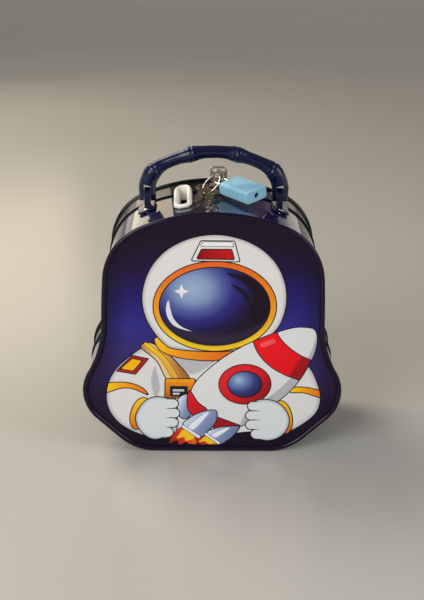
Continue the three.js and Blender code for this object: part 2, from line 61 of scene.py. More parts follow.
class Finish:
    """A material being built: add() makes a node, math() and mix() are the two used most."""

    def __init__(self, name, **surface):
        self.material = bpy.data.materials.new(name)
        self.material.use_nodes = True
        self.tree = self.material.node_tree
        self.tree.nodes.clear()
        self.shader = self.add("ShaderNodeBsdfPrincipled", **surface)
        out = self.add("ShaderNodeOutputMaterial")
        self.tree.links.new(self.shader.outputs[0], out.inputs["Surface"])

    def add(self, kind, settings=None, **inputs):
        """A node of this kind; settings are its own properties, inputs are values or sockets to link."""
        node = self.tree.nodes.new(kind)
        for key, value in (settings or {}).items():
            setattr(node, key, value)
        for key, value in inputs.items():
            socket = node.inputs[int(key[1:]) if key[1:].isdigit() else key.replace("_", " ")]
            if isinstance(value, bpy.types.NodeSocket):
                self.tree.links.new(value, socket)
            else:
                socket.default_value = value
        return node

    def math(self, operation, a, b=0.0, c=0.0, clamp=False):
        settings = {"operation": operation, "use_clamp": clamp}
        return self.add("ShaderNodeMath", settings, i0=a, i1=b, i2=c).outputs[0]

    def value(self, name):
        """A number stored on the piece's own points."""
        return self.add("ShaderNodeAttribute", {"attribute_name": name}).outputs["Fac"]

    def mix(self, factor, a, b, blend="MIX"):
        node = self.add("ShaderNodeMix", {"data_type": "RGBA", "blend_type": blend})
        for index, value in ((0, factor), (6, a), (7, b)):
            if isinstance(value, bpy.types.NodeSocket):
                self.tree.links.new(value, node.inputs[index])
            else:
                node.inputs[index].default_value = linear(value) if isinstance(value, str) else value
        return node.outputs[2]

    def ramp(self, value, stops, smooth=False):
        """Colour ramp: stops are (position, hex colour or grey value)."""
        node = self.add("ShaderNodeValToRGB", i0=value)
        line = node.color_ramp
        line.interpolation = "EASE" if smooth else "LINEAR"
        while len(line.elements) < len(stops):
            line.elements.new(0.5)
        for element, (position, colour) in zip(line.elements, stops):
            element.position = position
            element.color = linear(colour) if isinstance(colour, str) else (colour, colour, colour, 1)
        return node.outputs[0]

    def place(self, scale=(1, 1, 1), offset=(0, 0, 0), turn=(0, 0, 0)):
        """Object coordinates, in metres, through a mapping."""
        where = self.add("ShaderNodeTexCoord").outputs["Object"]
        return self.add("ShaderNodeMapping", Vector=where, Scale=scale, Location=offset, Rotation=turn).outputs[0]

    def noise(self, size_mm, detail=2.0, roughness=0.5, where=None, distortion=0.0):
        """Noise whose blotches are about size_mm across."""
        where = where or self.add("ShaderNodeTexCoord").outputs["Object"]
        node = self.add("ShaderNodeTexNoise", Vector=where, Scale=1000 / size_mm, Detail=detail,
                        Roughness=roughness, Distortion=distortion)
        return node.outputs["Fac"]

    def bump(self, height, depth_mm, strength=1.0):
        """Bump in real millimetres, linked to the shader."""
        node = self.add("ShaderNodeBump", Height=height, Distance=depth_mm * MM, Strength=strength)
        self.tree.links.new(node.outputs[0], self.shader.inputs["Normal"])

    def colour(self, socket):
        self.tree.links.new(socket, self.shader.inputs["Base Color"])

    def rough(self, socket):
        self.tree.links.new(socket, self.shader.inputs["Roughness"])


# %% [markdown]
# ## Helpers for surfaces
# A piece is a grid of points worked out all at once. Rows and columns may be closed into a loop, and a row may end in
# a single point, so that every piece is a closed skin with its faces outward.


# %% Surface helpers
def make_piece(name, skin_made, body, replaced, finish, values=None, angle=40):
    """A mesh from a skin: points (n, 3) in metres and a list of face index arrays of 3 or 4 columns. Shading is
    smooth, but kept sharp where two faces meet at more than the angle, in degrees."""
    points, faces = skin_made
    mesh = bpy.data.meshes.new(name)
    mesh.from_pydata(points, [], [f for block in faces for f in block.tolist()])
    for key, array in (values or {}).items():
        layer = mesh.attributes.new(key, "FLOAT", "POINT")
        layer.data.foreach_set("value", np.ascontiguousarray(array, np.float32))
    mesh.polygons.foreach_set("use_smooth", np.ones(len(mesh.polygons), bool))
    mesh.set_sharp_from_angle(angle=math.radians(angle))
    mesh.materials.append(finish)
    obj = bpy.data.objects.new(name, mesh)
    bpy.context.scene.collection.objects.link(obj)
    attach(obj, body)
    if replaced:
        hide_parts(*replaced)
    print(name, len(mesh.polygons), "faces")
    return obj


def grid_faces(rows, cols, close_rows=False):
    """Quads over rows of points, each row a closed loop: (r, c), (r, c+1), (r+1, c+1), (r+1, c)."""
    r = np.arange(rows if close_rows else rows - 1)
    r, c = (a.ravel() for a in np.meshgrid(r, np.arange(cols), indexing="ij"))
    r1, c1 = (r + 1) % rows, (c + 1) % cols
    return np.stack([r * cols + c, r * cols + c1, r1 * cols + c1, r1 * cols + c], axis=1)


def fan_faces(pole, ring, forward=True):
    """Triangles from one pole point to a closed ring of indices."""
    after = np.roll(ring, -1)
    columns = (np.full_like(ring, pole), ring, after) if forward else (np.full_like(ring, pole), after, ring)
    return np.stack(columns, axis=1)


def outward(points, blocks):
    """The same skin with its faces outward: the volume, a sum of p0 . (p1 x p2)/6 over triangles, is positive."""
    triangles = np.concatenate([b[:, [0, i, i + 1]] for b in blocks for i in range(1, b.shape[1] - 1)])
    a, b, c = (points[triangles[:, i]] for i in range(3))
    if np.einsum("ij,ij->", a, np.cross(b, c)) < 0:
        blocks = [block[:, ::-1] for block in blocks]
    return points, blocks


def skin(rings, closed=False):
    """A closed skin over rings (rows, cols, 3): the rows close into a loop, or each end closes on a pole."""
    rows, cols = rings.shape[:2]
    points, blocks = rings.reshape(-1, 3), [grid_faces(rows, cols, close_rows=closed)]
    if not closed:
        points = np.vstack([points, rings[0].mean(axis=0), rings[-1].mean(axis=0)])
        first = np.arange(cols)
        blocks.append(fan_faces(rows * cols, first, forward=False))
        blocks.append(fan_faces(rows * cols + 1, first + (rows - 1) * cols))
    return outward(points, blocks)


def together(*skins):
    """Several skins as one piece."""
    starts = np.cumsum([0] + [len(points) for points, _ in skins])
    return np.vstack([points for points, _ in skins]), [b + n for (_, bs), n in zip(skins, starts) for b in bs]


def sweep(path, radii, normal, sides=24, closed=False, section=None):
    """Rings round a path in a plane: p + r(cos a n + sin a t x n), t being the path's direction."""
    step = np.roll(path, -1, axis=0) - np.roll(path, 1, axis=0)
    if not closed:
        step[0], step[-1] = path[1] - path[0], path[-1] - path[-2]
    t = step / np.linalg.norm(step, axis=1, keepdims=True)
    normal = np.asarray(normal, float)
    across = np.cross(t, normal)
    a = np.linspace(0, 2 * np.pi, sides, endpoint=False)
    r = np.broadcast_to(radii, len(path))[:, None] * (1 if section is None else section(a))
    return (path[:, None] + (r * np.cos(a))[..., None] * normal + (r * np.sin(a))[..., None] * across[:, None])


def rounded(a, b, r, per_corner=8):
    """A rounded rectangle of half sizes a and b: corner centre + r(cos t, sin t), anticlockwise."""
    t = np.linspace(0, np.pi / 2, per_corner)
    quarter = r * np.stack([np.cos(t), np.sin(t)], axis=1)
    turns = [np.array([[c, s], [-s, c]]) for c, s in ((1, 0), (0, 1), (-1, 0), (0, -1))]
    signs = np.array([(1, 1), (-1, 1), (-1, -1), (1, -1)])
    return np.concatenate([quarter @ m + sign * (a - r, b - r) for m, sign in zip(turns, signs)])


def placed(points, matrix):
    """Points in mm through a 4 x 4 matrix, in metres."""
    m = np.array(matrix)
    return (points @ m[:3, :3].T + m[:3, 3]) * MM


# %% [markdown]
# ## The outline of the box
# Tin boxes of this kind are cut and rolled from a template made of a few arcs: a crown, a tight shoulder, an almost
# straight flank, a hollow waist, a round lobe, a straight run and a last arc into the flat base. The same arcs with
# smaller radii give every inner line, so the rim, the wall and the panel stay parallel.

# %% Outline
ARCS = [(119.5, 22.7), (41, 63.2), (580, 3.1), (-71.6, 29.0), (28, 76.6), (0, 20.5), (36.2, 43.4)]
TOP = 168.373
DEPTH, RIM = 85.0, 1.6
HALF_BASE = 44.0  # the share of the template's length given to half of the flat base


def outline(inset, count):
    """Points (x, z) in mm along the closed outline moved inwards by inset; point i is at the same share of the
    template's length for every inset. On an arc: centre + (R - inset)(sin h, cos h), h being the heading."""
    lengths = np.array([t if r == 0 else abs(r) * math.radians(t) for r, t in ARCS] + [0.0])
    x, z, h, pieces = 0.0, TOP - inset, 0.0, []
    for (radius, turn), length in zip(ARCS, lengths):
        pieces.append((x, z, h, radius, length))
        if radius == 0:
            x, z = x + turn * math.cos(h), z - turn * math.sin(h)
            continue
        r, new = radius - inset, h + math.copysign(math.radians(turn), radius)
        x, z = x + r * (math.sin(new) - math.sin(h)), z + r * (math.cos(new) - math.cos(h))
        h = new
    pieces.append((x, z, h, 0, abs(x)))
    ends = np.cumsum([p[4] for p in pieces])
    base_end = ends[-2] + HALF_BASE
    s = np.linspace(0, base_end, count // 2 + 1)
    out = np.zeros((len(s), 2))
    begin = 0.0
    for (px, pz, ph, radius, length), end in zip(pieces, ends):
        last = end == ends[-1]
        inside = (s >= begin) if last else (s >= begin) & (s < end)
        t = (s[inside] - begin)
        if last:
            t = t / HALF_BASE * abs(px)
        if radius == 0:
            out[inside] = np.stack([px + t * math.cos(ph), pz - t * math.sin(ph)], axis=1)
        else:
            hh = ph + np.sign(radius) * t / abs(radius)
            r = radius - inset
            along = np.stack([np.sin(hh) - math.sin(ph), np.cos(hh) - math.cos(ph)], axis=1)
            out[inside] = r * along + (px, pz)
        begin = end
    mirrored = out[1:-1][::-1] * [-1, 1]
    return np.concatenate([out, mirrored])


def outline_rings(section, count):
    """One ring of points per (inset, y) pair of a section, in metres: shape (len(section), count, 3)."""
    rings = []
    for inset, y in section:
        xz = outline(inset, count)
        rings.append(np.stack([xz[:, 0], np.full(len(xz), y), xz[:, 1]], axis=1))
    return np.array(rings) * MM


print("outline", outline(0, 560).min(0).round(2), outline(0, 560).max(0).round(2))

# %% [markdown]
# ## The panels
# Each panel is one pressed sheet: a flat face, a tight bend and an edge rolled round a wire. It is laid out as rings
# that shrink from the outline to a point behind the middle, so the artwork gets its finest points where its small
# shapes are. The back panel is the same sheet without the artwork.

# %% Panel surface
CENTRE = (0.0, 66.0)
AROUND = 520  # points round a panel
RECESS = 2.3  # how far the flat face lies behind the front of the rim


def panel_points(side, rows):
    """Rings from the centre to the rim and round the rolled edge: C + t(E - C) on the face, then a circle of the rim's
    radius in the (inset, depth) plane, from the face round the front, the outside and the back to the sheet."""
    edge = outline(4.2, AROUND)
    t = np.linspace(1 / rows, 1, rows)[:, None, None]
    face = np.array(CENTRE) + t * (edge - CENTRE)
    turn = np.radians(np.linspace(22, -292, 26))
    rim = np.stack([RIM + 0.03 + RIM * np.cos(turn), RIM + RIM * np.sin(turn)], axis=1)
    section = np.vstack([[3.7, 2.29], [3.32, 2.22], rim, [2.75, 2.9], [3.6, 2.92]])
    rolled = outline_rings([(inset, 0) for inset, _ in section], AROUND)
    rolled[:, :, 1] = ((section[:, 1] - DEPTH / 2) * -side * MM)[:, None]
    flat = np.stack([face[..., 0], np.full(face.shape[:2], (RECESS - DEPTH / 2) * -side), face[..., 1]], axis=2) * MM
    return np.concatenate([flat, rolled]), rows * AROUND


front_rings, face_count = panel_points(-1, rows=132)
print("panel rings", front_rings.shape, "of which", face_count, "points are on the face")

# %% [markdown]
# ## The artwork
# The front is printed flat before it is pressed. The artwork is a set of plain shapes painted one over the other, each
# with a thin dark outline, as a cartoon is inked: a space suit with an empty visor and a small rocket. A shape is kept
# as its signed distance, in millimetres, at every point of the panel: below zero is inside. The distance is smooth, so
# the edge stays clean between points, and the finish can draw the outline and a soft shade from the same number.

# %% Shapes
face_points = front_rings.reshape(-1, 3)[:face_count][:, [0, 2]] / MM


def ellipse(cx, cz, rx, rz, turn=0.0):
    """k(k - 1)/g, where k is the point's size in units of the ellipse and g that of the gradient."""
    c, s = math.cos(math.radians(turn)), math.sin(math.radians(turn))
    q = (face_points - (cx, cz)) @ np.array([[c, -s], [s, c]])
    k = np.linalg.norm(q / (rx, rz), axis=1)
    return k * (k - 1) / np.maximum(np.linalg.norm(q / (rx * rx, rz * rz), axis=1), 1e-9)


def polygon(corners, round_by=0.0):
    """Least distance to an edge, negative inside, where a line to the right crosses an odd number of edges."""
    p, corners = face_points, np.array(corners, float)
    best, inside = np.full(len(p), 1e9), np.zeros(len(p), bool)
    for a, b in zip(corners, np.roll(corners, -1, axis=0)):
        along = np.clip((p - a) @ (b - a) / max((b - a) @ (b - a), 1e-9), 0, 1)
        best = np.minimum(best, np.linalg.norm(p - a - along[:, None] * (b - a), axis=1))
        crosses = (a[1] > p[:, 1]) != (b[1] > p[:, 1])
        rise = b[1] - a[1] if b[1] != a[1] else 1e-9
        inside ^= crosses & (p[:, 0] < (b[0] - a[0]) * (p[:, 1] - a[1]) / rise + a[0])
    return np.where(inside, -best, best) - round_by


def curve(corners, round_by=0.0, steps=6):
    """A polygon through a closed Catmull-Rom curve of the corners."""
    p1 = np.array(corners, float)
    p0, p2, p3 = (np.roll(p1, n, axis=0) for n in (1, -1, -2))
    t = (np.arange(steps) / steps)[:, None, None]
    span = 2 * p1 + (p2 - p0) * t + (2 * p0 - 5 * p1 + 4 * p2 - p3) * t**2 + (3 * p1 - p0 - 3 * p2 + p3) * t**3
    return polygon((span / 2).transpose(1, 0, 2).reshape(-1, 2), round_by)


def capsule(x0, z0, x1, z1, r):
    """Distance to a line, less the radius."""
    a, d = np.array([x0, z0]), np.array([x1 - x0, z1 - z0])
    along = np.clip((face_points - a) @ d / (d @ d), 0, 1)
    return np.linalg.norm(face_points - a - along[:, None] * d, axis=1) - r


def across(x0, z0, x1, z1):
    """0 at the first point to 1 at the second, for a colour that runs along a line."""
    d = np.array([x1 - x0, z1 - z0])
    return np.clip((face_points - (x0, z0)) @ d / (d @ d), 0, 1)


def around(cx, cz, rx, rz):
    """0 in the middle to 1 on an ellipse."""
    return np.clip(np.linalg.norm((face_points - (cx, cz)) / (rx, rz), axis=1), 0, 1)


either, both = lambda *d: np.minimum.reduce(d), lambda *d: np.maximum.reduce(d)
print("face", face_points.min(axis=0).round(1), face_points.max(axis=0).round(1))

# %% [markdown]
# The layers go from the back to the front. Each has a name, its distance, its colour and how it is inked. A colour is
# one hex value, or a list of stops with the number that runs along them. `edge` is a shade that fades in towards the
# shape's border over some millimetres, `soft` blurs the border, and `fade` lets the ink die away on one side.

# %% Layers of the artwork
layers = []


def layer(name, distance, colour, ink=0.36, **look):
    layers.append({"name": name, "distance": distance, "colour": colour, "ink": ink, **look})


WHITE, INK, YELLOW = "#dcd9d5", "#120c14", "#f6c417"
warm = [(0.0, YELLOW), (0.45, "#f29a12"), (1.0, "#df6b22")]

suit_body = curve([(-34.6, 77.5), (-11.7, 70), (3.5, 69), (27.7, 73), (44, 56), (42.5, 19.2), (21, 13.5), (2, 12),
        (-16.8, 12.8), (-31.6, 18.8), (-36, 48.6)])
layer("suit_body", suit_body, WHITE)
layer("chest_shade", both(curve([(-26, 69), (1.5, 69), (-4.5, 61), (-15.5, 57)]), suit_body), "#b9b7b9", ink=0,
      soft=0.5)
left_arm = curve([(-34.6, 77.8), (-45.7, 75.7), (-55, 68.8), (-63.7, 60.1), (-69, 49.8), (-70.5, 38), (-67.7, 27.6),
        (-60.5, 18.6), (-47.8, 11.6), (-33, 8.6), (-24, 14), (-24, 36), (-28, 54), (-29, 68)])
right_arm = curve([(55, 68), (64.3, 61.5), (70.1, 49.2), (72.3, 38.8), (69.7, 28.4), (61.3, 20.0), (50.8, 13.4),
        (37.5, 7.8), (29, 12), (28.5, 40.1), (44, 60)])
arms = either(left_arm, right_arm)
layer("arms", arms, WHITE, edge=("#aeb0b6", 3.2))
layer("fold", both(curve([(-38.2, 62.5), (-40.6, 51), (-37.8, 39.4), (-34.9, 46), (-36.4, 56.5)]), arms), "#b4b3b7",
      ink=0, soft=0.35)
arm_rings = either(curve([(-72, 49.0), (-60.6, 50.6), (-51.3, 49), (-45.4, 45.6), (-42.7, 41.2), (-48, 43.6),
        (-53.5, 45.8), (-60.7, 46), (-72, 42.6)]),
        curve([(53.5, 47.2), (63.6, 47.2), (75, 43.6), (75, 38.8), (62, 43), (52, 43.6)]))
layer("arm_rings", both(arm_rings, arms), (warm, np.where(face_points[:, 0] < 0, across(-69, 46, -43, 43),
        across(54, 45, 72, 42))))
layer("badge", polygon([(-52.6, 69.6), (-42.6, 67.4), (-51, 56.6), (-62.9, 58.8)], 0.3), "#b3202b")
layer("badge_field", polygon([(-52.9, 67.6), (-46.4, 66.2), (-52.4, 58.8), (-60.5, 60.2)], 0.2), "#f5b50d")
layer("strap", curve([(-47.2, 75.9), (-41.5, 79.2), (-32.2, 73.9), (-23.2, 64.7), (-14.9, 52), (-29.2, 52),
        (-36.6, 65.8)]),
      ([(0, "#c58a3d"), (0.35, "#f0cf94"), (0.6, "#e2a860"), (1, "#a76b2b")], across(-41, 64, -25, 70)))
layer("strap_line", curve([(-44.6, 77.3), (-34.2, 67), (-24.8, 51), (-21.2, 51), (-29.6, 67), (-41.8, 78.4)]),
      ([(0, YELLOW), (1, "#e0a43c")], across(-42, 78, -23, 52)), ink=0.16)
layer("box", polygon([(-30.2, 52.2), (-12.4, 52.2), (-14.9, 40.2), (-30.6, 40.2)], 1.1),
      ([(0, "#f7a81f"), (0.25, "#e88a17"), (1, "#b3560f")], across(-22, 53.5, -22, 39)))
layer("box_screen", polygon([(-27.6, 47.2), (-16.9, 47.2), (-17.2, 40.9), (-27.4, 40.9)], 0.5), "#1c1a26", ink=0.16)
layer("box_gauge", either(polygon([(-26, 45.2), (-19, 45.2), (-19, 44.2), (-26, 44.2)], 0.3),
        polygon([(-26, 42.6), (-22, 42.6), (-22, 41.8), (-26, 41.8)], 0.3)), "#bdc9cf", ink=0)

# %% [markdown]
# The helmet comes next: a neck ring, a round shell with a lamp, and a visor in an orange frame. The visor is a ramp that
# falls away from one bright spot, with two dark banks, a four-pointed glint and a crescent laid over it.

# %% Helmet
layer("collar", curve([(-37.6, 82.5), (-36, 75.4), (-31, 71.4), (-22, 68.4), (-11, 66.8), (0, 66.4), (8, 68), (14, 73),
        (1.4, 78), (-24.8, 82)]),
      ([(0, "#fbc01a"), (0.35, "#f59a17"), (1, "#e06f1c")], across(-37, 80, 6, 70)))
layer("helmet", curve([(-32, 78.5), (-38.8, 87), (-44, 97.5), (-46, 110), (-44, 122), (-39, 133), (-31, 142.2),
        (-21, 148.5), (-10, 152.3), (1.5, 153.5), (12.5, 152), (23, 148.3), (33, 141.8), (41, 132.5),
        (46, 120.5), (47.2, 108), (44.8, 95.5), (39.5, 86.5), (27.7, 76), (1.5, 73), (-24, 74.5)]),
      "#dedad6", edge=("#aaa8a6", 2.6))
layer("lamp", polygon([(-7.8, 148.6), (12.4, 148.5), (15.7, 136.2), (-13.3, 136.6)], 0.8), "#e0ded9")
layer("lamp_top", polygon([(-6.4, 148.2), (10.9, 148.2), (12.2, 146.0), (-7.8, 146.1)], 0.5), "#eceae6", ink=0.18)
layer("lamp_glass", polygon([(-7.4, 142.9), (10.6, 142.9), (12.2, 137.7), (-9.8, 137.9)], 0.8),
      ([(0, "#8f0709"), (1, "#c3171a")], across(-10, 137, 10, 144)))
layer("visor_frame", ellipse(1.0, 104.5, 39.9, 31.2),
      ([(0, "#e2611f"), (0.3, "#ea7f1b"), (0.62, "#eda01b"), (0.86, "#f2cb24"), (1, "#f0c01c")],
       across(0, 135, 0, 74)))
layer("visor", ellipse(0.9, 104.5, 35.8, 27.1),
      ([(0, "#9bb0cb"), (0.24, "#8499bd"), (0.42, "#555f9c"), (0.6, "#2b2a79"), (0.8, "#1f1648"), (1, "#1b0e22")],
       around(-13, 117, 44, 37)))
in_visor = ellipse(0.9, 104.5, 34.6, 26.0)
layer("visor_floor", both(curve([(-30, 93), (-20, 88), (0, 84.5), (20, 86), (34, 94), (30, 84), (2, 74), (-27, 82)]),
        in_visor), "#33283f", ink=0, soft=3.0)
layer("visor_bank", both(curve([(8, 127.6), (20, 126.2), (29.1, 119.8), (34.5, 110.2), (34.8, 100.5), (29.5, 92),
        (23.5, 100.2), (25.4, 112.9), (19.1, 121.1)]), in_visor), "#170b1c", ink=0, soft=0.7)
layer("visor_bank_2", curve([(11, 119.9), (17.6, 117.4), (22.9, 111.8), (24.4, 105), (20.6, 110.1), (16.3, 115.4)]),
      "#160a1d", ink=0, soft=0.5)
layer("glint", polygon([(-20.5, 120.4), (-19.2, 116.4), (-15.3, 115.1), (-19.2, 113.8), (-20.5, 109.8),
        (-21.8, 113.8), (-25.7, 115.1), (-21.8, 116.4)]), "#e9e6df", ink=0)
layer("crescent", curve([(-28.9, 109), (-30.6, 103), (-28.9, 95.8), (-23.7, 90.2), (-13.1, 87.1), (-20.6, 90.6),
        (-25.6, 96.2), (-27.7, 103)]), "#dcdde2", ink=0)

# %% [markdown]
# The rocket is one long curve with a shaded flank. Its band and fins are cut out of that same curve by taking the larger
# of two distances, so they end exactly at its outline.

# %% Rocket
steel = [(0, "#d7dde8"), (0.3, "#aab5cd"), (0.55, "#8290b3"), (1, "#6a7697")]
fire = [(0, "#f08a1c"), (0.35, "#dc3a1e"), (1, "#8e1a1c")]
layer("rear_booster", curve([(-22.6, 38.5), (-15.3, 41.5), (-12.5, 30), (-17.5, 23.5), (-22.5, 26.9)]),
      (steel, across(-23, 34, -12, 30)))
rocket = curve([(61.7, 90.4), (53.3, 90.4), (41.7, 87.0), (27.5, 81.0), (17.1, 75.5), (5.4, 67.5), (-5, 58.2),
        (-11.6, 50.2), (-14.5, 41.3), (-9.5, 30.4), (2, 21.4), (18.2, 17.8), (29.5, 25.1), (40.7, 34.2),
        (50.4, 43), (58.0, 53), (63.5, 63.7), (67.1, 73), (68.2, 82.4), (66.4, 88.8)])
layer("rocket", rocket, "#dedcda")
flank_shade = curve([(69, 88), (64.6, 73.5), (57.1, 60.8), (46.9, 48.6), (36, 39), (24, 30.5), (20, 15), (50, 35),
        (66, 60), (74, 78)])
layer("rocket_shade", both(flank_shade, rocket + 0.3), "#b4b1b4", ink=0, soft=0.15)
nose_band = both(curve([(41.7, 90.5), (42.4, 85.2), (48.5, 77.6), (57, 71), (66.1, 66.6), (74, 62), (64, 46),
        (57.4, 52.4), (48.6, 56), (38.7, 62), (31, 70.2), (26.4, 81), (30, 90)]), rocket)
layer("nose_band", nose_band, ([(0, "#ee1420"), (0.72, "#e20e1b"), (0.76, "#a8121d"), (1, "#8f1019")],
        across(30, 76, 63, 58)))
layer("band_glint", both(polygon([(31, 78.6), (39.6, 82.2), (40.8, 79.8), (32.4, 76.2)], 0.3), nose_band + 0.6),
      "#f2555c", ink=0, soft=0.3)
layer("port_ring", ellipse(21.6, 49.3, 17.3, 14.6), ([(0, "#e2242b"), (0.6, "#c9161f"), (1, "#93101a")],
        across(10, 58, 34, 38)))
layer("port_glass", ellipse(21.6, 49.3, 11.4, 9.5),
      ([(0, "#a4bcd6"), (0.25, "#7289b8"), (0.6, "#39417f"), (1, "#1c1636")], around(17.5, 52.5, 17, 14)))
layer("fins", both(either(curve([(-15.4, 44.6), (-9.5, 36), (-3.4, 30), (-12.5, 26.3), (-16.6, 33.1)]),
        polygon([(1.4, 25.6), (18.7, 18.6), (16, 14.6), (1.4, 15.4)], 0.3))),
      ([(0, "#e31d27"), (1, "#a3121c")], across(-14, 44, 0, 20)))

# %% [markdown]
# Gloves, flames and boosters lie in front of all the rest. A glove is a palm joined with four capsules, and the ink
# between the fingers fades out towards the wrist.

# %% Gloves, flames and boosters
layer("cuffs", either(ellipse(-48.2, 27.3, 6.3, 12.4, -16), ellipse(47.8, 25.0, 6.1, 12.6, 12)),
      ([(0, YELLOW), (0.5, "#f0a51b"), (1, "#d9651f")], np.where(face_points[:, 0] < 0, across(-48, 38, -50, 16),
        across(47, 38, 52, 14))))
fingers = [(-32, 34.6, -26.0, 34.8, 3.5), (-31, 27.7, -25.2, 27.8, 3.6), (-32, 20.6, -26.2, 20.7, 3.6),
        (-34.6, 13.6, -29.6, 13.4, 3.7)]
fingers += [(32, 33.2, 27, 33.2, 3.4), (31.5, 26.4, 26.0, 26.3, 3.5), (31.7, 19.4, 26.2, 19.3, 3.6),
        (34.6, 12.4, 29.9, 12.3, 3.7)]
palms = either(curve([(-46.8, 34.6), (-40.8, 39.2), (-33, 39.7), (-27, 36), (-26.5, 24.9), (-29, 13.5), (-32.3, 9.6),
        (-39.2, 8.0), (-45.4, 11.2), (-50, 17.6), (-51.2, 25.7)]),
        curve([(28, 36), (34.2, 38.4), (41.9, 37.0), (47.8, 32.7), (51.7, 25.3), (51.2, 17), (46.4, 10.4),
        (39, 7.4), (32.3, 8.6), (28.5, 13), (27, 25)]))
glove_look = {"edge": ("#a9b1b8", 2.4)}
layer("gloves", either(palms, *(capsule(*f) for f in fingers)), "#d9dcdc", **glove_look)
from_wrist = np.clip((np.abs(face_points[:, 0] - 0.5) - 27.5) / 5, 0, 1)
for name, picked in (("fingers_even", fingers[1::2]), ("fingers_odd", fingers[0::2])):
    layer(name, either(*(capsule(*f) for f in picked)), "#d9dcdc", fade=from_wrist)
layer("flames", either(curve([(-4.2, 11.6), (-9, 10.2), (-12.2, 7.4), (-13.7, 3.6), (-8.6, 5.0), (-7.4, 2.2),
        (-3.2, 4.6), (0.9, 2.4), (3.6, 5.4)]),
        curve([(-19.5, 17), (-24, 14.4), (-27.4, 10.4), (-28.8, 4.6), (-23.6, 7.0), (-22.2, 2.4),
        (-18, 5.8), (-14.2, 4.2), (-10.3, 9.6)])), (fire, np.where(
        face_points[:, 0] + 0.4 * face_points[:, 1] < -8, across(-13, 13, -27, 4),
        across(2, 9, -11, 3))), ink=0.18)
layer("flame_cores", either(curve([(-3.6, 10.4), (-7, 8.0), (-8.8, 5.9), (-4.4, 6.6), (-2.4, 4.6), (2.4, 6)]),
        curve([(-18.6, 15.4), (-21.8, 12.0), (-23.6, 8.6), (-18.8, 9.8), (-17.4, 6.8),
        (-11.6, 9.6)])), "#f5c522", ink=0, soft=0.25)
layer("booster_low", curve([(-4.0, 12.6), (2.7, 16.6), (10, 18), (18.6, 17.8), (14.6, 10.9), (10.4, 7.2), (5.2, 4.8)]),
      (steel, across(0, 17, 13, 8)))
layer("booster_high", curve([(-19.5, 18.3), (-14.8, 24.4), (-7.5, 28.6), (0.4, 30.4), (3.4, 28.4), (2.6, 21.2),
        (-2.2, 14.6), (-8.4, 9.7)]), (steel, across(-15, 26, 1, 13)))
layer("booster_glints", either(curve([(-15.6, 18.0), (-5.4, 27.2), (-2.4, 27.8), (-11.8, 16.0)]),
        curve([(0.6, 11.8), (8, 16.2), (12, 16.6), (3.0, 9.8)])), "#e6eaf1", ink=0, soft=0.2)
layer("booster_rims", either(polygon([(-20.4, 17.5), (-19.4, 18.7), (-7.8, 10.3), (-8.9, 8.9)], 0.35),
        polygon([(-5.0, 12.0), (-4.0, 13.1), (5.8, 5.4), (4.8, 4.3)], 0.3)), "#e3e5ea", ink=0.18)
print(len(layers), "layers")

# %% [markdown]
# ## Printed tinplate
# Tinplate is printed with opaque inks over a white ground, stoved and varnished, so the surface is a coloured layer
# with a hard clear coat. The varnish lies very flat, with a slow waviness from the rolled sheet. The sky of the
# artwork runs from near black at the top through a deep blue to a violet and back to near black at the foot.

# %% Printed finish
TIN = {"Roughness": 0.45, "IOR": 1.5, "Specular_IOR_Level": 0.03, "Coat_Roughness": 0.02, "Coat_IOR": 1.5}
PANEL_GLOSS, BAND_GLOSS = 0.4, 1.0


def sheet_waves(finish, size_mm=34, depth_mm=0.05):
    finish.bump(finish.noise(size_mm, detail=1.5), depth_mm, 0.6)


def printed_tin(layers):
    """The sky, then every layer in turn: colour, fading edge shade, ink where the distance is near zero.
    A ramp over a distance d mm is d/width, clamped, so an edge is as soft as its width in mm."""
    f = Finish("lithographed tinplate, artwork", Coat_Weight=PANEL_GLOSS, **TIN)
    height = f.value("height")
    sky = f.ramp(height, [(0.0, "#08050f"), (0.12, "#170d24"), (0.26, "#2b1a42"), (0.42, "#352a68"),
                          (0.54, "#2f2b82"), (0.66, "#221a6b"), (0.78, "#1a0d3c"), (0.90, "#180a20"), (1.0, "#150817")])
    cloud = f.ramp(f.noise(46, detail=3, distortion=0.6), [(0.42, 0.0), (0.72, 1.0)])
    sky = f.mix(f.math("MULTIPLY", cloud, 0.3), sky, "#2c1238")
    near_rim = f.ramp(f.value("from_rim"), [(0.0, 1.0), (1.0, 0.0)], smooth=True)
    colour = f.mix(f.math("MULTIPLY", near_rim, 0.55), sky, "#130a1c")
    for n, one in enumerate(layers):
        distance, fill = f.value(one["name"]), one["colour"]
        if isinstance(fill, tuple):
            fill = f.ramp(f.value(one["name"] + "_run"), fill[0])
        if "edge" in one:
            shade, width = one["edge"]
            fill = f.mix(f.math("MULTIPLY_ADD", distance, 1 / width, 1.0, clamp=True), fill, shade)
        soft = one.get("soft", 0.07)
        colour = f.mix(f.math("MULTIPLY_ADD", distance, -0.5 / soft, 0.5, clamp=True), colour, fill)
        if one["ink"]:
            line = f.math("MULTIPLY_ADD", f.math("ABSOLUTE", distance), -8.0, 8.0 * one["ink"] + 0.5, clamp=True)
            if "fade" in one:
                line = f.math("MULTIPLY", line, f.value(one["name"] + "_fade"))
            colour = f.mix(line, colour, INK)
    f.colour(colour)
    sheet_waves(f)
    return f.material


